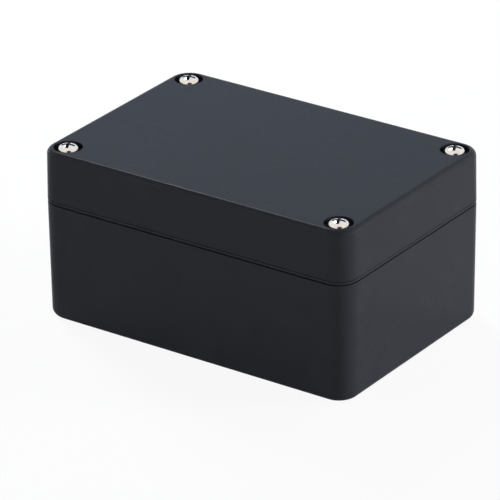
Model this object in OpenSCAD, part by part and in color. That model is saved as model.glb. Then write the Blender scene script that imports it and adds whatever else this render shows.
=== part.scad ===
// Screwed plastic project box: a deep base, a lid with a rubber seal and four corner screws.
// The origin is the middle of the underside, X runs along the length and Z points up.

/* [Box] */
// Length outside, along X
box_l = 100; // [90:1:200]
// Width outside, along Y
box_w = 68; // [60:1:160]
// Height with the lid on
box_h = 50; // [46:1:90]
// Height of the base, up to the face that the lid sits on
base_h = 34.4; // [26:0.1:36]
// Radius of the four upright corners
corner_r = 6; // [5:0.5:9]
// Thickness of the base's side walls
wall_t = 2.8; // [2.4:0.1:4]
// Thickness of the base's floor
floor_t = 3; // [2:0.1:5]
// Thickness of the lid's top
lid_top_t = 3; // [2:0.1:5]
// Fillet round the bottom edge of the base
bottom_fillet = 2.3; // [0.5:0.1:4]
// Rounding of the base's outer edge at the joint line
rim_round = 0.3; // [0.1:0.05:0.6]
// Fillet round the top edge of the lid
top_fillet = 1.6; // [0.3:0.1:1.8]
// How far in the base's walls come at the bottom, so that it leaves its mould
base_bottom_inset = 0.24; // [0:0.02:0.6]
// How far in the lid's walls come at the top, so that it leaves its mould
lid_top_inset = 0.16; // [0:0.02:0.4]

/* [Joint line] */
// Open joint between the lid's skirt and the base
joint_gap = 0.3; // [0.1:0.05:0.6]
// Height of the band along the lid's lower edge, which leans in towards the joint
band_h = 1; // [0.4:0.1:3]
// Depth of the step at the top of that band
band_step = 0.06; // [0.02:0.02:0.2]
// Depth of the band at the joint
band_depth = 0.2; // [0.05:0.05:0.4]

/* [Seal] */
// Thickness of the tongue on the base's rim
tongue_t = 1.2; // [0.8:0.1:1.4]
// Height of the tongue
tongue_h = 2; // [1:0.1:4]
// Clearance on each side of the tongue in the lid's groove
groove_clearance = 0.2; // [0.1:0.05:0.3]
// Thickness of the lip on the inner side of the groove
lip_t = 1; // [0.8:0.1:2]
// Height of the seal that lies in the top of the groove
gasket_h = 1.5; // [0.8:0.1:3]
// Clearance between the seal and each side of the groove
gasket_clearance = 0.05; // [0.02:0.01:0.1]
// Radius of the cavity's corners, where a wall meets a screw column
cavity_corner_r = 2.4; // [1.6:0.1:3]

/* [Screws] */
// Distance from the box's sides to the middle of each screw
screw_inset = 6; // [5.5:0.1:9]
// Radius of the solid columns that hold the screws
column_r = 5; // [4.8:0.1:7]
// Diameter of the screw's shank
screw_d = 3; // [2.5:0.1:3.2]
// How far the screw reaches into the base
screw_reach = 6; // [4:0.5:12]
// Length of the cone at the screw's tip
tip_chamfer = 0.4; // [0.2:0.1:0.8]
// Diameter of the screw's pan head
head_d = 5.7; // [5:0.1:7]
// Height of the screw's pan head
head_h = 2.4; // [2:0.1:3.2]
// Radius of the head's domed top
head_dome_r = 5; // [4:0.5:8]
// Radius of the head's shoulder, where its side runs into the dome
head_shoulder_r = 1.5; // [0.8:0.1:1.8]
// Diameter of the recess round each head
recess_d = 8; // [7.4:0.1:8.4]
// Depth of that recess, which leaves the top of the head a little proud of the lid
recess_depth = 1.6; // [1:0.1:3]
// Clearance between the shank and its hole in the lid, on the radius
shank_clearance = 0.2; // [0.1:0.05:0.4]
// Span of the cross, taken at the level of the head's highest point
cross_span = 4.2; // [3:0.1:4.6]
// Width of the cross's slots
cross_slot = 0.8; // [0.4:0.05:1]
// Depth of the cross
cross_depth = 1.7; // [0.8:0.1:1.8]
// Diameter of the cross at its bottom
cross_tip_d = 1.8; // [0.8:0.1:2]
// Angle that each cross is turned to
cross_turn = 23; // [0:1:89]

/* [Threaded inserts] */
// Diameter of the brass inserts
insert_d = 4.6; // [4:0.1:5.4]
// Length of the inserts
insert_l = 6; // [3:0.5:10]
// Width of the plain groove round each insert's middle
insert_groove_w = 1.2; // [0.5:0.1:2]
// Depth of that groove
insert_groove_depth = 0.3; // [0.1:0.05:0.5]
// Clearance between the insert and its pocket, on the radius
insert_clearance = 0.02; // [0.01:0.01:0.05]
// Clearance between the screw and the insert, on the radius
thread_clearance = 0.05; // [0.02:0.01:0.1]
// Depth of free room under the screw's tip
tip_room = 1; // [0.5:0.1:3]

/* [Circuit board] */
// Distance along X between the stand-offs' holes
board_hole_x = 70; // [40:1:72]
// Distance along Y between the stand-offs' holes
board_hole_y = 40; // [20:1:44]
// Diameter of the stand-offs
standoff_d = 6.5; // [5:0.1:8]
// Height of the stand-offs above the floor
standoff_h = 5; // [3:0.5:12]
// Diameter of the pilot holes for the board's screws
pilot_d = 2.5; // [2:0.1:3.2]
// Depth of the pilot holes
pilot_depth = 6; // [3:0.5:6.5]

/* [Card guides] */
// Distance from the middle of the box to each pair of guides
guide_x = 16; // [8:1:24]
// Slot between the two ribs of a pair
guide_slot = 1.8; // [1:0.1:3]
// Thickness of each rib
guide_t = 1.2; // [0.8:0.1:2]
// How far the ribs stand out from the wall
guide_depth = 1.4; // [0.8:0.1:3]
// How far below the base's rim the ribs end
guide_drop = 4; // [1:0.5:10]

/* [Hidden] */
$fn = 96;
plastic = [0.15, 0.155, 0.17];
rubber = [0.05, 0.05, 0.05];
steel = [0.75, 0.76, 0.78];
brass = [0.78, 0.6, 0.25];
over = 1; // how far a cut runs past the face that it opens

screw_x = box_l / 2 - screw_inset;
screw_y = box_w / 2 - screw_inset;
seat_z = box_h - recess_depth; // the recess's floor, which the head sits on
dome_z = head_h - head_dome_r; // the middle of the dome's sphere, above the seat
shoulder_x = head_d / 2 - head_shoulder_r; // the middle of the shoulder's arc, and its height
shoulder_z = dome_z + sqrt(pow(head_dome_r - head_shoulder_r, 2) - pow(shoulder_x, 2));
screw_l = seat_z - base_h + screw_reach;
groove_out = tongue_t + groove_clearance; // the groove's outer side, past the cavity's edge
groove_depth = tongue_h + gasket_h;
skirt_t = wall_t - groove_out; // the lid's wall outside the groove
lip_inner = -groove_clearance - lip_t; // the lip's inner face, inside the cavity's edge
insert_r = screw_d / 2 + thread_clearance; // the insert's bore

// Half of a wall's outline, wide end up: x is out from the corner's centre, y is up from the filleted end.
module wall_profile(height, inset, fillet) {
    lean = atan(inset / height);
    arc_x = corner_r - (fillet + (height - fillet) * sin(lean)) / cos(lean);
    polygon([
        [0, 0],
        [arc_x, 0],
        [arc_x, fillet],
        [arc_x + fillet * cos(lean), fillet - fillet * sin(lean)],
        [corner_r, height],
        [0, height]
    ]);
    translate([arc_x, fillet]) circle(r = fillet);
}

// Carries a wall's outline round the box's rounded rectangle, and fills the middle.
module round_the_box(z0, z1) {
    core_x = box_l / 2 - corner_r;
    core_y = box_w / 2 - corner_r;
    for (side = [0, 180]) rotate(side) {
        translate([core_x, core_y, 0]) rotate_extrude(angle = 90) children();
        translate([-core_x, core_y, 0]) rotate(90) rotate_extrude(angle = 90) children();
        translate([core_x, core_y, 0]) rotate([90, 0, 0]) linear_extrude(2 * core_y) children();
        translate([-core_x, core_y, 0]) rotate([90, 0, 90]) linear_extrude(2 * core_x) children();
    }
    translate([-core_x, -core_y, z0]) cube([2 * core_x, 2 * core_y, z1 - z0]);
}

module round_rectangle(x, y, r) {
    square([x - 2 * r, y], center = true);
    square([x, y - 2 * r], center = true);
    for (sx = [-1, 1], sy = [-1, 1])
        translate([sx * (x / 2 - r), sy * (y / 2 - r)]) circle(r = r);
}

// The cavity's plan, which passes inside the screw columns, grown by the given distance.
module cavity_area(grow) {
    half_x = box_l / 2 - wall_t + grow;
    half_y = box_w / 2 - wall_t + grow;
    column = column_r - grow;
    r = cavity_corner_r + grow;
    round_rectangle(2 * half_x, 2 * (screw_y - column), r);
    round_rectangle(2 * (screw_x - column), 2 * half_y, r);
    difference() {
        square([2 * screw_x, 2 * screw_y], center = true);
        for (sx = [-1, 1], sy = [-1, 1]) translate([sx * screw_x, sy * screw_y]) circle(r = column);
    }
}

module at_screws() {
    for (sx = [-1, 1], sy = [-1, 1]) translate([sx * screw_x, sy * screw_y, 0]) children();
}

module at_standoffs() {
    for (sx = [-1, 1], sy = [-1, 1])
        translate([sx * board_hole_x / 2, sy * board_hole_y / 2, 0]) children();
}

// Pairs of upright ribs on the long walls, which hold a card across the box.
module card_guides() {
    height = base_h - guide_drop - floor_t;
    wall_y = box_w / 2 - wall_t;
    for (side = [-1, 1], pair = [-1, 1], rib = [-1, 1])
        translate([
            pair * guide_x + rib * (guide_slot + guide_t) / 2,
            side * (wall_y - guide_depth / 2),
            floor_t + height / 2
        ])
            cube([guide_t, guide_depth, height], center = true);
}

// The base's wall, with the rounding of its outer edge at the joint.
module base_profile() {
    difference() {
        wall_profile(base_h, base_bottom_inset, bottom_fillet);
        translate([corner_r - rim_round, base_h - rim_round]) difference() {
            square(rim_round + over);
            circle(r = rim_round);
        }
    }
}

module base() {
    color(plastic) difference() {
        union() {
            difference() {
                union() {
                    round_the_box(0, base_h) base_profile();
                    translate([0, 0, base_h - over])
                        linear_extrude(tongue_h + over) cavity_area(tongue_t);
                }
                translate([0, 0, floor_t]) linear_extrude(base_h) cavity_area(0);
            }
            card_guides();
            at_standoffs() translate([0, 0, floor_t - over])
                cylinder(d = standoff_d, h = standoff_h + over);
        }
        at_standoffs() translate([0, 0, floor_t + standoff_h - pilot_depth])
            cylinder(d = pilot_d, h = pilot_depth + over);
        at_screws() {
            translate([0, 0, base_h - insert_l])
                cylinder(r = insert_d / 2 + insert_clearance, h = insert_l + over);
            translate([0, 0, base_h - screw_reach - tip_room])
                cylinder(r = insert_r + shank_clearance, h = screw_reach + tip_room);
        }
    }
}

// The lid's wall from its seat on the base up to its top, with the joint's gap and the band.
module lid_profile() {
    difference() {
        translate([0, box_h]) mirror([0, 1]) wall_profile(box_h - base_h, lid_top_inset, top_fillet);
        translate([corner_r - skirt_t, base_h - over]) square([skirt_t + over, joint_gap + over]);
        translate([corner_r, base_h + joint_gap]) polygon([
            [-band_step, band_h],
            [over, band_h],
            [over, -joint_gap],
            [-band_depth, -joint_gap],
            [-band_depth, 0]
        ]);
    }
}

module lid() {
    color(plastic) difference() {
        round_the_box(base_h, box_h) lid_profile();
        translate([0, 0, base_h - over])
            linear_extrude(box_h - lid_top_t - base_h + over) cavity_area(lip_inner);
        translate([0, 0, base_h - over]) linear_extrude(groove_depth + over) difference() {
            cavity_area(groove_out);
            cavity_area(-groove_clearance);
        }
        at_screws() {
            translate([0, 0, seat_z]) cylinder(d = recess_d, h = recess_depth + over);
            translate([0, 0, base_h - over])
                cylinder(r = screw_d / 2 + shank_clearance, h = box_h - base_h + over);
        }
    }
}

module gasket() {
    color(rubber) translate([0, 0, base_h + tongue_h]) linear_extrude(gasket_h) difference() {
        cavity_area(groove_out - gasket_clearance);
        cavity_area(gasket_clearance - groove_clearance);
    }
}

// Half of the pan head's outline: a low side, the shoulder's arc and the dome.
module head_profile() {
    reach = head_dome_r / (head_dome_r - head_shoulder_r); // from the dome's middle past the shoulder's
    intersection() {
        union() {
            square([head_d / 2, shoulder_z]);
            translate([shoulder_x, shoulder_z]) circle(r = head_shoulder_r);
            intersection() {
                translate([0, dome_z]) circle(r = head_dome_r);
                square([reach * shoulder_x, head_h]);
            }
        }
        square([head_d / 2, head_h]);
    }
}

module screw(sx, sy) {
    color(steel) translate([sx * screw_x, sy * screw_y, seat_z]) {
        difference() {
            rotate_extrude() head_profile();
            rotate(cross_turn) intersection() {
                translate([0, 0, head_h - cross_depth])
                    cylinder(d1 = cross_tip_d, d2 = cross_span, h = cross_depth);
                union() {
                    cube([cross_span, cross_slot, 2 * head_h], center = true);
                    cube([cross_slot, cross_span, 2 * head_h], center = true);
                }
            }
        }
        translate([0, 0, tip_chamfer - screw_l]) cylinder(d = screw_d, h = screw_l - tip_chamfer);
        translate([0, 0, -screw_l])
            cylinder(r1 = screw_d / 2 - tip_chamfer, r2 = screw_d / 2, h = tip_chamfer);
    }
}

module insert(sx, sy) {
    color(brass) translate([sx * screw_x, sy * screw_y, base_h - insert_l]) difference() {
        cylinder(d = insert_d, h = insert_l);
        translate([0, 0, -over]) cylinder(r = insert_r, h = insert_l + 2 * over);
        translate([0, 0, (insert_l - insert_groove_w) / 2]) difference() {
            cylinder(d = insert_d + over, h = insert_groove_w);
            cylinder(d = insert_d - 2 * insert_groove_depth, h = insert_groove_w);
        }
    }
}

base();
lid();
gasket();
screw(-1, -1);  // screw_front_left
screw(1, -1);  // screw_front_right
screw(-1, 1);  // screw_back_left
screw(1, 1);  // screw_back_right
insert(-1, -1);  // insert_front_left
insert(1, -1);  // insert_front_right
insert(-1, 1);  // insert_back_left
insert(1, 1);  // insert_back_right
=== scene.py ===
import math

import bmesh
import bpy
from mathutils import Matrix, Vector


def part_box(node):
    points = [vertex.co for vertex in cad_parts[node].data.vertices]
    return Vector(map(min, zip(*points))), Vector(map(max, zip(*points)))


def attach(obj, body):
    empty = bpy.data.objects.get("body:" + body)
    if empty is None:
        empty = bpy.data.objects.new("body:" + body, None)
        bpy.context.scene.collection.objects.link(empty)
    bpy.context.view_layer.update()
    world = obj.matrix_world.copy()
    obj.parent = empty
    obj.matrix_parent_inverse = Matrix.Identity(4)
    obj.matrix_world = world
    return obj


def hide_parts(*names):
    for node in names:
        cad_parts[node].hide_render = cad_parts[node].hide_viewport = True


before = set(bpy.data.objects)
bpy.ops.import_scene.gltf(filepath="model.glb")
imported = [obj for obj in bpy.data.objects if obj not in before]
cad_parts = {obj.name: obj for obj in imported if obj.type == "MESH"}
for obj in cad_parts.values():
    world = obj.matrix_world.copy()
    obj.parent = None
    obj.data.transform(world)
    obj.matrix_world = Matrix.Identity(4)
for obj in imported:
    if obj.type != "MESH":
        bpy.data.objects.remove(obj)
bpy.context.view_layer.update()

mm = 0.001  # pieces are modelled in millimetres, and brought to metres when they are finished
tiny = 1e-3  # places closer than this, in millimetres, count as the same
weld = 1e-4  # points of a spun shape closer than this are merged
through = 1.0  # how far a cutter, or a rib in its wall, reaches past the faces that it meets
aligned = 0.9  # least cosine between a face's normal and the way that the face is said to look
sharp = 0.6  # least turn, in radians, of an edge that is rounded for its sharpness
mostLean = 0.5  # an upright edge leans less than this, and is longer


def nodeBox(name):
    low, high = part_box(name)
    return low / mm, high / mm


# Places that the solids give, in millimetres.
baseLow, baseHigh = nodeBox("base")
lidLow, lidHigh = nodeBox("lid")
gasketLow, gasketHigh = nodeBox("gasket")
screwLow, screwHigh = nodeBox("screw_back_right")
insertLow, insertHigh = nodeBox("insert_back_right")
halfLength, halfWidth = baseHigh.x, baseHigh.y
rimZ, tongueZ, lidTopZ = lidLow.z, baseHigh.z, lidHigh.z
screwX, screwY = (screwLow.x + screwHigh.x) / 2, (screwLow.y + screwHigh.y) / 2
corners = {
    "front_left": (-screwX, -screwY),
    "front_right": (screwX, -screwY),
    "back_left": (-screwX, screwY),
    "back_right": (screwX, screwY),
}

# What the base, the lid and the seal share.
housing = {
    "cornerRadius": 6.0,
    "cornerSteps": 20,
    "filletSteps": 10,
    "wall": 2.8,
    "columnRadius": 5.0,  # the solid columns that the screws go into
    "columnSteps": 14,
    "cavityRadius": 2.4,  # the cavity's corners, where a wall meets a column
    "cavitySteps": 8,
    "cavityFillet": 0.8,  # where the walls meet the floor or the lid's top, inside
    "cavityFilletSteps": 5,
    "tongue": 1.2,
    "grooveClearance": 0.2,
    "lip": 1.0,
    "rimSteps": 4,  # in the rounded rims
    "edgeSteps": 3,  # in the smallest rounded edges
}


def activate(piece):
    bpy.ops.object.select_all(action="DESELECT")
    piece.select_set(True)
    bpy.context.view_layer.objects.active = piece


def openMesh(piece, kind="FACE", pick="DESELECT"):
    activate(piece)
    bpy.ops.object.mode_set(mode="EDIT")
    bpy.ops.mesh.select_mode(type=kind)
    bpy.ops.mesh.select_all(action=pick)


def closeMesh():
    bpy.ops.object.mode_set(mode="OBJECT")


def pickFaces(piece, test):
    mesh = bmesh.from_edit_mesh(piece.data)
    for face in mesh.faces:
        face.select_set(test(face.calc_center_median(), face.normal))
    bmesh.update_edit_mesh(piece.data)


def looksDown(centre, normal):
    return normal.z < -aligned


def bevelEdges(piece, test, size, steps, leastTurn=0.0):
    openMesh(piece, "EDGE")
    mesh = bmesh.from_edit_mesh(piece.data)
    for edge in mesh.edges:
        turns = edge.calc_face_angle(math.pi) >= leastTurn
        edge.select_set(turns and test(edge.verts[0].co, edge.verts[1].co))
    bmesh.update_edit_mesh(piece.data)
    bpy.ops.mesh.bevel(
        offset=size, segments=steps, profile=0.5, affect="EDGES", clamp_overlap=False
    )
    closeMesh()


def atHeight(z):
    return lambda a, b: max(abs(a.z - z), abs(b.z - z)) < tiny


def isUpright(a, b):
    return math.hypot(a.x - b.x, a.y - b.y) < mostLean and abs(a.z - b.z) > mostLean


def extrudeBy(x, y, z):
    bpy.ops.mesh.extrude_region_move(TRANSFORM_OT_translate={"value": (x, y, z)})


# Names the primitive that was just added, and brings its place and size into its mesh.
def named(name):
    piece = bpy.context.active_object
    piece.name = piece.data.name = name
    bpy.ops.object.transform_apply(location=True, rotation=True, scale=True)
    return piece


def addBlock(name, low, high):
    low, high = Vector(low), Vector(high)
    bpy.ops.object.select_all(action="DESELECT")
    bpy.ops.mesh.primitive_cube_add(size=1, location=(low + high) / 2, scale=high - low)
    return named(name)


def applyModifier(piece, kind, **settings):
    activate(piece)
    modifier = piece.modifiers.new(kind.lower(), kind)
    for key, value in settings.items():
        setattr(modifier, key, value)
    bpy.ops.object.modifier_apply(modifier=modifier.name)


def combine(piece, tool, operation):
    applyModifier(piece, "BOOLEAN", object=tool, operation=operation, solver="EXACT")
    bpy.data.objects.remove(tool)


def joined(name, pieces):
    bpy.ops.object.select_all(action="DESELECT")
    for piece in pieces:
        piece.select_set(True)
    bpy.context.view_layer.objects.active = pieces[0]
    bpy.ops.object.join()
    pieces[0].name = pieces[0].data.name = name
    return pieces[0]


def copyTo(piece, name, place):
    twin = piece.copy()
    twin.data = piece.data.copy()
    twin.name = twin.data.name = name
    bpy.context.scene.collection.objects.link(twin)
    twin.data.transform(Matrix.Translation((*place, 0)))
    return twin


def repeated(piece, places):
    name = piece.name
    copies = [copyTo(piece, f"{name}{i}", place) for i, place in enumerate(places)]
    bpy.data.objects.remove(piece)
    return joined(name, copies)


def turned(piece, angle):
    piece.data.transform(Matrix.Rotation(angle, 4, "Z"))
    return piece


# An open line in the XZ plane through (x, z) points, extruded from one vertex.
def drawnLine(name, points):
    bpy.ops.object.select_all(action="DESELECT")
    bpy.ops.mesh.primitive_plane_add(size=1)
    line = named(name)
    openMesh(line, "VERT", "SELECT")
    bpy.ops.mesh.merge(type="CENTER")
    x, z = points[0]
    bpy.ops.transform.translate(value=(x, 0, z))
    for nextX, nextZ in points[1:]:
        extrudeBy(nextX - x, 0, nextZ - z)
        x, z = nextX, nextZ
    closeMesh()
    return line


# A line spun round the Z axis into a closed solid. It starts and ends on the axis.
def spunPiece(name, points, steps=64):
    piece = drawnLine(name, points)
    openMesh(piece, "VERT", "SELECT")
    bpy.ops.mesh.spin(steps=steps, angle=2 * math.pi, center=(0, 0, 0), axis=(0, 0, 1))
    bpy.ops.mesh.select_all(action="SELECT")
    bpy.ops.mesh.remove_doubles(threshold=weld)
    bpy.ops.mesh.normals_make_consistent(inside=False)
    closeMesh()
    return piece


def arc(centre, radius, start, end, steps):
    turns = [math.radians(start + (end - start) * i / steps) for i in range(steps + 1)]
    return [(centre[0] + radius * math.cos(a), centre[1] + radius * math.sin(a)) for a in turns]


# The end of a cutter's outline: a hole's chamfered mouth, which opens out as far as reach.
def mouth(radius, top, chamfer, reach):
    low, high = top - chamfer, top - chamfer + reach
    return [(radius, low), (radius + reach, high), (0, high)]


# Half of the housing: upright sides that lean in towards the closed end, which is filleted.
def outerBlock(name, openZ, closedZ, lean, fillet):
    low, high = min(openZ, closedZ), max(openZ, closedZ)
    block = addBlock(name, (-halfLength, -halfWidth, low), (halfLength, halfWidth, high))
    openMesh(block)
    pickFaces(block, lambda centre, normal: abs(centre.z - closedZ) < tiny)
    shrink = (1 - lean / halfLength, 1 - lean / halfWidth, 1)
    bpy.ops.transform.resize(value=shrink, center_override=(0, 0, closedZ))
    closeMesh()
    bevelEdges(block, isUpright, housing["cornerRadius"], housing["cornerSteps"])
    bevelEdges(block, atHeight(closedZ), fillet, housing["filletSteps"])
    return block


# The plan of the cavity, which goes round the screw columns, grown on all sides and made solid.
def cavityBlock(name, grow, low, high):
    column = housing["columnRadius"] - grow
    armX, armY = screwX - column, screwY - column
    reachX = halfLength - housing["wall"] + grow
    reachY = halfWidth - housing["wall"] + grow
    block = addBlock(name, (-armX, -armY, low), (armX, armY, high))

    def middleFace(x, y):
        side, along = Vector((x, y, 0)), Vector((y, x, 0))
        return lambda at, normal: normal.dot(side) > aligned and abs(at.dot(along)) < tiny

    openMesh(block)
    for x, y in ((1, 0), (-1, 0), (0, 1), (0, -1)):
        pickFaces(block, middleFace(x, y))
        extrudeBy(x * (reachX - armX), y * (reachY - armY), 0)
    closeMesh()

    def isInner(a, b):
        return isUpright(a, b) and abs(abs(a.x) - armX) < tiny and abs(abs(a.y) - armY) < tiny

    def isOuter(a, b):
        return isUpright(a, b) and (abs(abs(a.x) - reachX) < tiny or abs(abs(a.y) - reachY) < tiny)

    bevelEdges(block, isInner, column, housing["columnSteps"])
    bevelEdges(block, isOuter, housing["cavityRadius"] + grow, housing["cavitySteps"])
    return block


finishing = {
    "weld": 3e-4,  # clears the slivers that the cuts leave
    "smoothAngle": 32.0,
    "faceWeight": 50,  # large faces stay flat beside their rounded edges
}


def finishPiece(piece, body, node, look):
    openMesh(piece, "VERT", "SELECT")
    bpy.ops.mesh.remove_doubles(threshold=finishing["weld"])
    bpy.ops.mesh.dissolve_degenerate(threshold=finishing["weld"])
    bpy.ops.mesh.delete_loose()
    closeMesh()
    piece.data.transform(Matrix.Scale(mm, 4))
    activate(piece)
    bpy.ops.object.shade_smooth_by_angle(angle=math.radians(finishing["smoothAngle"]))
    weight = finishing["faceWeight"]
    applyModifier(piece, "WEIGHTED_NORMAL", mode="FACE_AREA", weight=weight, keep_sharp=True)
    piece.data.materials.clear()
    piece.data.materials.append(look)
    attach(piece, body)
    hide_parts(node)


# A socket of a node tree, so that shader maths is written as maths.
class Wire:
    def __init__(self, graph, socket):
        self.graph = graph
        self.socket = socket

    def maths(self, operation, first, second):
        return self.graph.node("ShaderNodeMath", {"operation": operation}, {0: first, 1: second})

    def __add__(self, other):
        return self.maths("ADD", self, other)

    def __sub__(self, other):
        return self.maths("SUBTRACT", self, other)

    def __rsub__(self, other):
        return self.maths("SUBTRACT", other, self)

    def __mul__(self, other):
        return self.maths("MULTIPLY", self, other)

    __radd__ = __add__
    __rmul__ = __mul__


class Graph:
    def __init__(self, owner):
        owner.use_nodes = True
        self.tree = owner.node_tree
        self.tree.nodes.clear()

    # Adds a node: its settings come first, then the values or links of its sockets.
    def node(self, kind, settings=None, inputs=None, output=0):
        node = self.tree.nodes.new(kind)
        for key, value in (settings or {}).items():
            setattr(node, key, value)
        for key, value in (inputs or {}).items():
            if isinstance(value, Wire):
                self.tree.links.new(value.socket, node.inputs[key])
            else:
                node.inputs[key].default_value = value
        return Wire(self, node.outputs[output]) if node.outputs else node

    # Even noise from 0 to 1, whose cells are about the given size in metres.
    def noise(self, size, detail=2.0):
        place = self.node("ShaderNodeTexCoord", output="Object")
        inputs = {"Vector": place, "Scale": 1 / size, "Detail": detail}
        return self.node("ShaderNodeTexNoise", {"normalize": True}, inputs)

    def colourMix(self, factor, first, second):
        first, second = (c if isinstance(c, Wire) else (*c, 1) for c in (first, second))
        inputs = {0: factor, 6: first, 7: second}
        return self.node("ShaderNodeMix", {"data_type": "RGBA"}, inputs, output=2)

    def relief(self, height, distance):
        inputs = {"Height": height, "Strength": 1.0, "Distance": distance}
        return self.node("ShaderNodeBump", {}, inputs)

    # From 0 to 1 as the value goes from start to end.
    def step(self, value, start, end):
        span = {"Value": value, "From Min": start, "From Max": end}
        return self.node("ShaderNodeMapRange", {"interpolation_type": "SMOOTHSTEP"}, span)

    # Which rays arrive: those straight from the camera, and those by reflections and glass.
    def rays(self):
        kinds = ("Is Camera Ray", "Is Glossy Ray", "Is Transmission Ray")
        direct, glossy, passing = (self.node("ShaderNodeLightPath", output=kind) for kind in kinds)
        return direct, 1 - (1 - glossy) * (1 - passing)


# A value that follows noise, by half the spread up and half down.
def varied(value, spread, noise):
    return value + spread * (noise - 0.5)


def makeLook(name, sockets):
    look = bpy.data.materials.new(name)
    graph = Graph(look)
    surface = graph.node("ShaderNodeBsdfPrincipled", {}, sockets(graph), output="BSDF")
    graph.node("ShaderNodeOutputMaterial", {}, {"Surface": surface})
    return look


satinPlastic = {
    "colour": (0.0192, 0.0207, 0.0252),
    "paler": (0.0220, 0.0237, 0.0286),  # in faint clouds, where the moulding cooled unevenly
    "cloudSize": 0.018,
    "cloudDetail": 3.0,
    "roughness": 0.27,
    "cloudSpread": 0.05,  # how far the roughness varies with the clouds
    "grainSpread": 0.04,  # and with the grain
    "grainSize": 0.00022,  # the fine matt grain of the mould's surface
    "grainHeight": 0.0000012,
    "specular": 0.06,
}


def plasticSockets(graph):
    p = satinPlastic
    clouds = graph.noise(p["cloudSize"], p["cloudDetail"])
    grain = graph.noise(p["grainSize"])
    clouded = varied(p["roughness"], p["cloudSpread"], clouds)
    return {
        "Base Color": graph.colourMix(clouds, p["colour"], p["paler"]),
        "Roughness": varied(clouded, p["grainSpread"], grain),
        "Specular IOR Level": p["specular"],
        "Normal": graph.relief(grain, p["grainHeight"]),
    }


sealRubber = {
    "colour": (0.017, 0.017, 0.018),
    "dusty": (0.03, 0.03, 0.031),
    "dustSize": 0.0011,
    "dustDetail": 4.0,
    "dustHeight": 0.000015,
    "roughness": 0.72,
    "dustSpread": 0.16,  # how far the roughness varies with the dust
    "specular": 0.3,
}


def rubberSockets(graph):
    r = sealRubber
    dust = graph.noise(r["dustSize"], r["dustDetail"])
    return {
        "Base Color": graph.colourMix(dust, r["colour"], r["dusty"]),
        "Roughness": varied(r["roughness"], r["dustSpread"], dust),
        "Specular IOR Level": r["specular"],
        "Normal": graph.relief(dust, r["dustHeight"]),
    }


platedSteel = {
    "colour": (0.91, 0.85, 0.78),
    "duller": (0.66, 0.62, 0.57),
    "hollow": (0.10, 0.10, 0.10),  # painted shade, down in the cross and in the thread's valleys
    "smudgeSize": 0.0009,
    "smudgeDetail": 3.0,
    "roughness": 0.16,
    "smudgeSpread": 0.14,  # how far the roughness varies with the smudges
    "hollowRoughness": 0.25,  # what the hollows add to it
    "grainSize": 0.00015,
    "grainHeight": 0.0000008,
}


def steelSockets(graph):
    s = platedSteel
    smudges = graph.noise(s["smudgeSize"], s["smudgeDetail"])
    hollow = graph.node("ShaderNodeAttribute", {"attribute_name": "hollow"}, output="Fac")
    bright = graph.colourMix(smudges, s["colour"], s["duller"])
    smudged = varied(s["roughness"], s["smudgeSpread"], smudges)
    return {
        # Painted shade: the marked faces down in the cross and the thread's valleys are coloured
        # nearly black.
        "Base Color": graph.colourMix(hollow, bright, s["hollow"]),
        "Metallic": 1.0,
        "Roughness": smudged + s["hollowRoughness"] * hollow,
        "Normal": graph.relief(graph.noise(s["grainSize"]), s["grainHeight"]),
    }


machinedBrass = {
    "colour": (0.78, 0.55, 0.22),
    "tarnished": (0.62, 0.40, 0.16),
    "tarnishSize": 0.0014,
    "tarnishDetail": 4.0,
    "roughness": 0.28,
    "tarnishSpread": 0.2,  # how far the roughness varies with the tarnish
}


def brassSockets(graph):
    b = machinedBrass
    tarnish = graph.noise(b["tarnishSize"], b["tarnishDetail"])
    return {
        "Base Color": graph.colourMix(tarnish, b["colour"], b["tarnished"]),
        "Metallic": 1.0,
        "Roughness": varied(b["roughness"], b["tarnishSpread"], tarnish),
    }


# The deep shell, with its stand-offs, card guides and insert pockets.
baseShape = {
    "floor": 3.0,
    "lean": 0.24,  # how far in the walls come at the bottom
    "bottomFillet": 2.3,
    "rimRound": 0.3,  # outer edge at the joint
    "tongueRound": 0.15,
    "standoffX": 35.0,
    "standoffY": 20.0,
    "standoffRadius": 3.25,
    "standoffHeight": 5.0,
    "standoffRound": 0.25,  # round its top
    "standoffFoot": 0.7,  # fillet where it meets the floor
    "footSteps": 6,
    "footSunk": 0.01,  # how far the fillet's edge lies under the floor, for a clean joint
    "pilotRadius": 1.25,
    "pilotDepth": 6.0,
    "pilotTip": 0.4,
    "pilotChamfer": 0.3,
    "pilotSteps": 48,
    "guideX": 16.0,
    "guideSlot": 1.8,
    "guideThickness": 1.2,
    "guideDepth": 1.4,
    "guideDrop": 4.0,
    "guideRound": 0.3,
    "pocketSlack": 0.02,  # between an insert and its pocket
    "pocketChamfer": 0.12,
    "pocketReach": 0.5,  # its cutter widens no further, so that it clears the tongue
    "tipSlack": 0.2,  # free space round a screw's tip
    "tipRoom": 1.0,  # and under it
}


def cardGuides():
    b = baseShape
    wallY = halfWidth - housing["wall"]
    freeY = wallY - b["guideDepth"]
    half = b["guideThickness"] / 2
    low = (-half, freeY, b["floor"] - through)
    rib = addBlock("ribs", low, (half, wallY + through, rimZ - b["guideDrop"]))

    def isFree(p, q):
        return max(abs(p.y - freeY), abs(q.y - freeY)) < tiny

    bevelEdges(rib, isFree, b["guideRound"], housing["rimSteps"])
    step = (b["guideSlot"] + b["guideThickness"]) / 2
    places = [(pair * b["guideX"] + side * step, 0) for pair in (-1, 1) for side in (-1, 1)]
    ribs = repeated(rib, places)
    return joined("ribs", [ribs, turned(copyTo(ribs, "ribsOpposite", (0, 0)), math.pi)])


def standoffPlaces():
    x, y = baseShape["standoffX"], baseShape["standoffY"]
    return [(sideX * x, sideY * y) for sideX in (-1, 1) for sideY in (-1, 1)]


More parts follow.
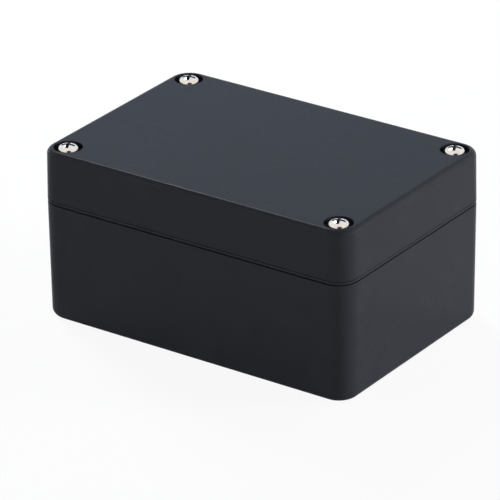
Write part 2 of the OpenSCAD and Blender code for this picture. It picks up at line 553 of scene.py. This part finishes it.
def standoffs():
    b = baseShape
    radius, edge, foot = b["standoffRadius"], b["standoffRound"], b["standoffFoot"]
    floor, top = b["floor"], b["floor"] + b["standoffHeight"]
    outline = [(0, floor - through), (radius + foot, floor - through)]
    outline += arc((radius + foot, floor + foot - b["footSunk"]), foot, 270, 180, b["footSteps"])
    outline += arc((radius - edge, top - edge), edge, 0, 90, housing["edgeSteps"])
    return repeated(spunPiece("posts", outline + [(0, top)]), standoffPlaces())


def pilotHoles():
    b = baseShape
    radius, top = b["pilotRadius"], b["floor"] + b["standoffHeight"]
    bottom = top - b["pilotDepth"]
    outline = [(0, bottom - b["pilotTip"]), (radius, bottom)]
    outline += mouth(radius, top, b["pilotChamfer"], through)
    return repeated(spunPiece("pilots", outline, b["pilotSteps"]), standoffPlaces())


def insertPockets():
    b = baseShape
    pocket = insertShape["radius"] + b["pocketSlack"]
    shank = insertShape["bore"] + b["tipSlack"]
    low = screwLow.z - b["tipRoom"]
    outline = [(0, low), (shank, low), (shank, insertLow.z), (pocket, insertLow.z)]
    outline += mouth(pocket, rimZ, b["pocketChamfer"], b["pocketReach"])
    return repeated(spunPiece("pockets", outline), corners.values())


def makeBase(look):
    b = baseShape
    base = outerBlock("base_shell", rimZ, baseLow.z, b["lean"], b["bottomFillet"])
    bevelEdges(base, atHeight(rimZ), b["rimRound"], housing["rimSteps"])
    combine(base, cavityBlock("tongue", housing["tongue"], rimZ - through, tongueZ), "UNION")
    cavity = cavityBlock("cavity", 0, b["floor"], tongueZ + through)
    onFloor = atHeight(b["floor"])
    bevelEdges(cavity, onFloor, housing["cavityFillet"], housing["cavityFilletSteps"])
    combine(base, cavity, "DIFFERENCE")
    bevelEdges(base, atHeight(tongueZ), b["tongueRound"], housing["edgeSteps"], leastTurn=sharp)
    combine(base, cardGuides(), "UNION")
    combine(base, standoffs(), "UNION")
    combine(base, pilotHoles(), "DIFFERENCE")
    combine(base, insertPockets(), "DIFFERENCE")
    finishPiece(base, "base", "base", look)


# The shallow shell, with a groove for the seal and four recesses for the screws.
lidShape = {
    "top": 3.0,
    "lean": 0.16,  # how far in the walls come at the top
    "topFillet": 1.6,
    "jointGap": 0.3,
    "bandHeight": 1.0,  # the band along the lower edge leans in towards the joint
    "bandStep": 0.06,
    "bandDepth": 0.12,
    "grooveHeight": 0.22,  # the fine groove over the band
    "grooveDepth": 0.3,
    "skirtRound": 0.12,  # outer edge at the joint
    "skirtSpare": 0.05,  # what the seal's groove cuts away inside the edge
    "recessRadius": 4.0,
    "recessDepth": 1.6,
    "recessRound": 0.12,
    "recessFillet": 0.3,
    "recessFlare": 0.1,  # its cutter widens by this above the lid
    "recessSteps": 96,
    "holeRadius": 1.7,
    "holeChamfer": 0.15,
}
seatZ = lidTopZ - lidShape["recessDepth"]  # the recess's floor, which the head sits on


# How far a point lies inside the housing's outline.
def outlineDepth(point):
    x = abs(point.x) - halfLength + housing["cornerRadius"]
    y = abs(point.y) - halfWidth + housing["cornerRadius"]
    reach = math.hypot(x, y) if min(x, y) > 0 else max(x, y)
    return housing["cornerRadius"] - reach


# The lower edge is made from the top down: a fine groove, the band's step, and the band.
def lidBlock():
    s = lidShape
    skirtZ = rimZ + s["jointGap"]
    skirt = housing["wall"] - housing["tongue"] - housing["grooveClearance"]
    block = outerBlock("lid_shell", skirtZ + s["bandHeight"], lidTopZ, s["lean"], s["topFillet"])
    openMesh(block)
    pickFaces(block, looksDown)
    depth, bandHeight = s["grooveDepth"], s["bandHeight"] - s["grooveHeight"]
    bpy.ops.mesh.inset(thickness=depth, depth=0)
    levels = [(s["grooveHeight"], depth), (0, s["bandStep"]), (bandHeight, s["bandDepth"])]
    for down, nextDepth in levels:
        extrudeBy(0, 0, -down)
        grow = (1 + (depth - nextDepth) / halfLength, 1 + (depth - nextDepth) / halfWidth, 1)
        bpy.ops.transform.resize(value=grow, center_override=(0, 0, skirtZ))
        depth = nextDepth
    bpy.ops.mesh.inset(thickness=skirt - depth + s["skirtSpare"], depth=0)
    extrudeBy(0, 0, -s["jointGap"])
    closeMesh()
    onSkirt = atHeight(skirtZ)

    def isSkirtEdge(a, b):
        return onSkirt(a, b) and outlineDepth(a) < skirt / 2

    bevelEdges(block, isSkirtEdge, s["skirtRound"], housing["edgeSteps"], leastTurn=sharp)
    return block


def screwRecesses():
    s = lidShape
    radius, rim, fillet = s["recessRadius"], s["recessRound"], s["recessFillet"]
    hole, chamfer, steps = s["holeRadius"], s["holeChamfer"], housing["rimSteps"]
    outline = [(0, rimZ - through), (hole, rimZ - through)]
    outline += [(hole, seatZ - chamfer), (hole + chamfer, seatZ)]
    outline += arc((radius - fillet, seatZ + fillet), fillet, 270, 360, steps)
    outline += arc((radius + rim, lidTopZ - rim), rim, 180, 90, steps)
    outline += [(radius + rim + s["recessFlare"], lidTopZ + through), (0, lidTopZ + through)]
    return repeated(spunPiece("recesses", outline, s["recessSteps"]), corners.values())


# The groove over the tongue, or with some slack the ring that lies in it.
def grooveRing(name, slack, low, high):
    clearance = housing["grooveClearance"]
    ring = cavityBlock(name, housing["tongue"] + clearance - slack, low, high)
    core = cavityBlock("core", slack - clearance, low - through, high + through)
    combine(ring, core, "DIFFERENCE")
    return ring


def makeLid(look):
    lid = lidBlock()
    ceiling = lidTopZ - lidShape["top"]
    grow = -housing["grooveClearance"] - housing["lip"]
    cavity = cavityBlock("lidCavity", grow, rimZ - through, ceiling)
    onCeiling = atHeight(ceiling)
    bevelEdges(cavity, onCeiling, housing["cavityFillet"], housing["cavityFilletSteps"])
    combine(lid, cavity, "DIFFERENCE")
    combine(lid, grooveRing("groove", 0, rimZ - through, gasketHigh.z), "DIFFERENCE")
    combine(lid, screwRecesses(), "DIFFERENCE")
    finishPiece(lid, "lid", "lid", look)


sealShape = {"slack": 0.05, "edgeRound": 0.35}


# Its flat rings are cut into triangles before its edges are rounded, or they would overlap.
def makeSeal(look):
    s = sealShape
    ring = grooveRing("seal_ring", s["slack"], gasketLow.z, gasketHigh.z)
    openMesh(ring, "FACE", "SELECT")
    bpy.ops.mesh.quads_convert_to_tris(quad_method="BEAUTY", ngon_method="BEAUTY")
    closeMesh()

    def isLevel(a, b):
        return abs(a.z - b.z) < tiny

    bevelEdges(ring, isLevel, s["edgeRound"], housing["rimSteps"], leastTurn=sharp)
    finishPiece(ring, "lid", "gasket", look)


thread = {
    "radius": 1.5,
    "depth": 0.307,
    "pitch": 0.5,
    "slack": 0.04,  # how much wider the insert's thread is than the screw's
    "valley": (0, 1 / 4),  # where along a turn its valley and its crest lie
    "crest": (9 / 16, 11 / 16),
    "steps": 32,
}


# A threaded rod from low to high. Threads of one pitch that start at a multiple of it mesh.
def threadedRod(name, slack, low, high):
    pitch, steps, major = thread["pitch"], thread["steps"], thread["radius"] + slack
    minor = major - thread["depth"]
    start = (math.floor(low / pitch) - 1) * pitch
    profile = [(minor, z) for z in thread["valley"]] + [(major, z) for z in thread["crest"]]
    rod = drawnLine(name, [(radius, start + z * pitch) for radius, z in profile + [(minor, 1)]])
    turns = int((high - low) / pitch) + 3  # more than it needs, and then cut to length
    applyModifier(
        rod, "SCREW", angle=2 * math.pi, screw_offset=pitch, iterations=turns,
        steps=steps, render_steps=steps, use_merge_vertices=True, merge_threshold=weld,
    )
    openMesh(rod, "VERT", "SELECT")
    bpy.ops.mesh.remove_doubles(threshold=weld)
    for z, below in ((low, True), (high, False)):
        bpy.ops.mesh.select_all(action="SELECT")
        bpy.ops.mesh.bisect(
            plane_co=(0, 0, z), plane_no=(0, 0, 1), use_fill=True,
            clear_inner=below, clear_outer=not below,
        )
    bpy.ops.mesh.select_all(action="SELECT")
    bpy.ops.mesh.normals_make_consistent(inside=False)
    closeMesh()
    return rod


screwShape = {
    "headRadius": 2.95,
    "headHeight": 2.4,
    "headEdge": 0.12,  # rounds the head's lower edge
    "headSteps": 96,
    "domeRadius": 5.0,
    "shoulder": 1.5,  # the arc where the head's side runs into the dome
    "domeSteps": 12,
    "neck": 1.0,  # plain length under the head
    "neckFoot": 0.15,  # how much thinner than the thread it is at its foot
    "neckTop": 0.1,  # and near its top
    "neckFlare": 0.15,  # height over which it then widens to the thread's radius
    "tipChamfer": 0.4,
    "runOut": 0.6,  # length over which the thread fades into the neck
    "runOutDepth": 0.35,
    "runOutOverlap": 0.3,  # how far it goes up into the neck
    "shankSteps": 48,
    "crossSpan": 4.2,  # at the level of the head's highest point
    "crossTip": 1.8,  # and at the cross's bottom
    "crossDepth": 1.7,
    "crossTurn": 23.0,
    "slot": 0.9,
    "slotTip": 0.62,
    "pitRadius": 0.72,  # the round pit in the middle of the cross, at the head's top
    "pitFoot": 0.4,  # and at the cross's bottom
    "pitTip": 0.25,
    "pitSteps": 32,
    "dullDepth": 0.6,  # share of the thread's depth from which it is rougher and painted dark as shade
    "dullSkin": 0.03,  # depth in the cross from which it is rougher and painted dark as shade
}


def headBlank():
    s = screwShape
    radius, shoulder, dome, edge = s["headRadius"], s["shoulder"], s["domeRadius"], s["headEdge"]
    domeZ = seatZ + s["headHeight"] - dome
    rise = math.sqrt((dome - shoulder) ** 2 - (radius - shoulder) ** 2)
    meet = math.degrees(math.atan2(rise, radius - shoulder))  # where the two arcs run together
    shank, neckZ = thread["radius"], seatZ - s["neck"]
    outline = [(0, neckZ), (shank - s["neckFoot"], neckZ)]
    outline += [(shank - s["neckTop"], seatZ - s["neckFlare"]), (shank, seatZ)]
    outline += arc((radius - edge, seatZ + edge), edge, 270, 360, housing["edgeSteps"])
    outline += arc((radius - shoulder, domeZ + rise), shoulder, 0, meet, s["domeSteps"])
    outline += arc((0, domeZ), dome, meet, 90, s["domeSteps"])[1:]
    return spunPiece("screw", outline, s["headSteps"])


# Two tapered wings across each other and a round pit, which go on upwards past the head.
def crossCutter():
    s = screwShape
    top, depth = seatZ + s["headHeight"], s["crossDepth"]
    bottom, over = top - depth, 0.6  # over the head
    span = s["crossSpan"] + (s["crossSpan"] - s["crossTip"]) / depth * over
    slot = s["slot"] + (s["slot"] - s["slotTip"]) / depth * over
    wing = addBlock("wing", (-span / 2, -slot / 2, bottom), (span / 2, slot / 2, top + over))
    openMesh(wing)
    pickFaces(wing, looksDown)
    taper = (s["crossTip"] / span, s["slotTip"] / slot, 1)
    bpy.ops.transform.resize(value=taper, center_override=(0, 0, bottom))
    closeMesh()
    combine(wing, turned(copyTo(wing, "crossing", (0, 0)), math.pi / 2), "UNION")
    pit = [(0, bottom - s["pitTip"]), (s["pitFoot"], bottom)]
    pit += [(s["pitRadius"], top + over), (0, top + over)]
    combine(wing, spunPiece("pit", pit, s["pitSteps"]), "UNION")
    return turned(wing, math.radians(s["crossTurn"]))


# The thread, cut to a chamfered tip and a run-out by an envelope that is wider than it.
def threadedShank():
    s = screwShape
    radius, chamfer = thread["radius"], s["tipChamfer"]
    clear, spare = 0.2, 0.5  # how far the envelope stands off the thread, and the rod outlasts it
    low, high = screwLow.z, seatZ - s["neck"] + s["runOutOverlap"]
    rod = threadedRod("rod", 0, low - spare, high + spare)
    envelope = [(0, low), (radius - chamfer, low), (radius + clear, low + chamfer + clear)]
    envelope += [(radius + clear, high - s["runOut"]), (radius - s["runOutDepth"], high), (0, high)]
    combine(rod, spunPiece("envelope", envelope, s["shankSteps"]), "INTERSECT")
    return rod


# Marks the faces down in the cross and in the valleys of the thread, which are rougher and painted
# dark as shade.
def markHollows(screw):
    s = screwShape
    domeZ = seatZ + s["headHeight"] - s["domeRadius"]
    valley = thread["radius"] - s["dullDepth"] * thread["depth"]
    bottom = s["crossDepth"] + s["pitTip"] + 0.05  # just deeper than the pit

    def isHollow(at, normal):
        reach, isEnd = math.hypot(at.x, at.y), abs(normal.z) > 0.95
        if at.z < seatZ - s["neck"]:
            return reach < valley and not isEnd
        skin = domeZ + math.sqrt(s["domeRadius"] ** 2 - reach**2)
        return reach < s["crossSpan"] / 2 and s["dullSkin"] < skin - at.z < bottom

    marks = screw.data.attributes.new("hollow", "FLOAT", "FACE")
    for face, mark in zip(screw.data.polygons, marks.data):
        mark.value = float(isHollow(face.center, face.normal))


def makeScrews(look):
    screw = headBlank()
    combine(screw, crossCutter(), "DIFFERENCE")
    combine(screw, threadedShank(), "UNION")
    markHollows(screw)
    for corner, place in corners.items():
        twin = copyTo(screw, f"pan_screw_{corner}", place)
        finishPiece(twin, f"screw_{corner}", f"screw_{corner}", look)
    bpy.data.objects.remove(screw)


insertShape = {
    "radius": 2.3,
    "lowChamfer": 0.25,
    "topChamfer": 0.15,
    "bore": 1.55,
    "knurls": 30,
    "knurlDepth": 0.14,
    "knurlInset": 0.03,
    "grooveWidth": 1.2,
    "grooveDepth": 0.3,
    "mouth": 0.35,  # chamfer that leads the screw in
    "mouthStart": 0.3,  # how far inside the bore its cutter starts
    "mouthSteps": 48,
}


def makeInserts(look):
    s = insertShape
    low, high, radius = insertLow.z, insertHigh.z, s["radius"]
    middle, half = (low + high) / 2, s["grooveWidth"] / 2
    neck, foot, rim = radius - s["grooveDepth"], s["lowChamfer"], s["topChamfer"]
    outline = [(0, low), (radius - foot, low), (radius, low + foot), (radius, middle - half)]
    outline += [(neck, middle - half), (neck, middle + half), (radius, middle + half)]
    outline += [(radius, high - rim), (radius - rim, high), (0, high)]
    insert = spunPiece("insert", outline, 2 * s["knurls"])

    # Every other face round the two bands.
    def isKnurl(centre, normal):
        place = math.atan2(centre.y, centre.x) / math.pi * s["knurls"]
        onBand = math.hypot(centre.x, centre.y) > neck + s["grooveDepth"] / 3
        facesOut = abs(normal.z) < 0.1
        return onBand and facesOut and int(place // 1) % 2 == 0

    openMesh(insert)
    pickFaces(insert, isKnurl)
    bpy.ops.mesh.inset(use_individual=True, thickness=s["knurlInset"], depth=-s["knurlDepth"])
    closeMesh()
    tap = threadedRod("tap", thread["slack"], low - through, high + through)
    combine(insert, tap, "DIFFERENCE")
    start, chamfer = s["mouthStart"], s["mouth"]
    lead = [(0, high - chamfer)] + mouth(s["bore"] - start, high, chamfer, chamfer + start)
    combine(insert, spunPiece("lead", lead, s["mouthSteps"]), "DIFFERENCE")
    for corner, place in corners.items():
        twin = copyTo(insert, f"threaded_insert_{corner}", place)
        finishPiece(twin, "base", f"insert_{corner}", look)
    bpy.data.objects.remove(insert)


camera = {
    "azimuth": 35.208,
    "elevation": 25.25,
    "roll": -0.723,
    "distance": 1.2082,
    "lens": 319.78,
    "sensor": 36,
    "clipEnd": 50,
    "aimHeight": 0.025,
    "left": 0.00328,  # how far the camera stands to the left of its aim, and below it
    "below": 0.00486,
}


def makeCamera():
    turn, rise, roll = (math.radians(camera[key]) for key in ("azimuth", "elevation", "roll"))
    flat = math.cos(rise)
    back = Vector((math.sin(turn) * flat, -math.cos(turn) * flat, math.sin(rise)))
    level = Vector((math.cos(turn), math.sin(turn), 0))
    raised = back.cross(level)
    right = level * math.cos(roll) + raised * math.sin(roll)
    up = raised * math.cos(roll) - level * math.sin(roll)
    place = Vector((0, 0, camera["aimHeight"])) + back * camera["distance"]
    place -= right * camera["left"] + up * camera["below"]
    data = bpy.data.cameras.new("camera")
    data.lens = camera["lens"]
    data.sensor_width = camera["sensor"]
    data.clip_end = camera["clipEnd"]
    body = bpy.data.objects.new("camera", data)
    axes = Matrix((right, up, back)).transposed().to_4x4()
    body.matrix_world = Matrix.Translation(place) @ axes
    bpy.context.scene.collection.objects.link(body)
    bpy.context.scene.camera = body


studio = {
    "floorSize": 8,
    "floorColour": (0.50, 0.49, 0.47),  # as it lights the box
    "floorPale": (0.88, 0.88, 0.88),  # and as it is seen
    "floorWhite": 0.92,  # how far the floor is plain white to the camera
    "floorGleam": 0.05,  # and in reflections
    "skySides": 5.4,  # soft light from all sides, with none overhead
    "skyTop": 0.0,
    "skyBand": (0.1, 0.24),  # the heights between which it fades
}

# What the sky holds in reflections: a pale blue card, which the top mirrors, and the dark camera.
cards = {
    "back": {"towards": (-0.52, 0.74, 0.43), "edge": (0.85, 0.95), "colour": (0.82, 0.93, 1.12)},
    "camera": {"towards": (0.57, -0.60, 0.56), "edge": (0.89, 0.94), "colour": (0.05, 0.04, 0.04)},
}

# A lamp is white, and isn't seen in reflections, unless it says otherwise.
lamps = {
    "left": {
        "place": (-1.06, 0.46, 0.33), "size": 0.5, "power": 22.0, "colour": (0.88, 0.98, 1.16),
    },
    "right": {"place": (0.98, 0.62, 0.17), "size": 0.5, "power": 21.0},
    "front": {"place": (-0.90, -0.72, 0.30), "size": 0.5, "power": 2.0},
    "back": {"place": (0.28, 0.98, 0.60), "size": 0.5, "power": 1.4},
    "edge": {"place": (-0.63, 0.51, 0.89), "size": 0.2, "power": 2.4, "gleams": True},
}


def makeFloor():
    s = studio
    bpy.ops.object.select_all(action="DESELECT")
    bpy.ops.mesh.primitive_plane_add(size=s["floorSize"])
    floor = named("floor")
    look = bpy.data.materials.new("paleFloor")
    graph = Graph(look)
    direct, mirrored = graph.rays()
    colour = graph.colourMix(direct, s["floorColour"], s["floorPale"])
    lit = graph.node("ShaderNodeBsdfDiffuse", {}, {"Color": colour})
    white = graph.node("ShaderNodeEmission", {}, {"Color": (1, 1, 1, 1), "Strength": 1})
    share = direct * s["floorWhite"] + mirrored * s["floorGleam"]
    surface = graph.node("ShaderNodeMixShader", {}, {0: share, 1: lit, 2: white})
    graph.node("ShaderNodeOutputMaterial", {}, {"Surface": surface})
    floor.data.materials.append(look)


# White to the camera and in reflections. What it lights the box with is set apart.
def makeSky():
    s = studio
    world = bpy.data.worlds.new("studio")
    graph = Graph(world)
    direction = graph.node("ShaderNodeTexCoord", output="Object")
    height = graph.node("ShaderNodeSeparateXYZ", {}, {"Vector": direction}, output="Z")
    light = s["skySides"] + graph.step(height, *s["skyBand"]) * (s["skyTop"] - s["skySides"])
    direct, mirrored = graph.rays()
    seen = 1 - (1 - direct) * (1 - mirrored)
    colour, dot = (1, 1, 1), {"operation": "DOT_PRODUCT"}
    for card in cards.values():
        inputs = {0: direction, 1: card["towards"]}
        aim = graph.node("ShaderNodeVectorMath", dot, inputs, output="Value")
        share = mirrored * graph.step(aim, *card["edge"])
        colour = graph.colourMix(share, colour, card["colour"])
    inputs = {"Color": colour, "Strength": seen + (1 - seen) * light}
    surface = graph.node("ShaderNodeBackground", {}, inputs)
    graph.node("ShaderNodeOutputWorld", {}, {"Surface": surface})
    bpy.context.scene.world = world


def makeLamps():
    for name, lamp in lamps.items():
        data = bpy.data.lights.new(name, "AREA")
        data.shape = "DISK"
        data.size = lamp["size"]
        data.energy = lamp["power"]
        data.color = lamp.get("colour", (1, 1, 1))
        body = bpy.data.objects.new(name, data)
        body.visible_glossy = lamp.get("gleams", False)
        place = Vector(lamp["place"])
        facing = place.to_track_quat("Z", "Y").to_matrix().to_4x4()
        body.matrix_world = Matrix.Translation(place) @ facing
        bpy.context.scene.collection.objects.link(body)


print("camera")
makeCamera()
print("base")
plasticLook = makeLook("satinBlackPlastic", plasticSockets)
makeBase(plasticLook)
print("lid")
makeLid(plasticLook)
print("seal")
makeSeal(makeLook("softBlackRubber", rubberSockets))
print("screws")
makeScrews(makeLook("platedSteel", steelSockets))
print("inserts")
makeInserts(makeLook("machinedBrass", brassSockets))
print("studio")
makeFloor()
makeSky()
makeLamps()
bpy.context.scene.view_settings.view_transform = "Standard"
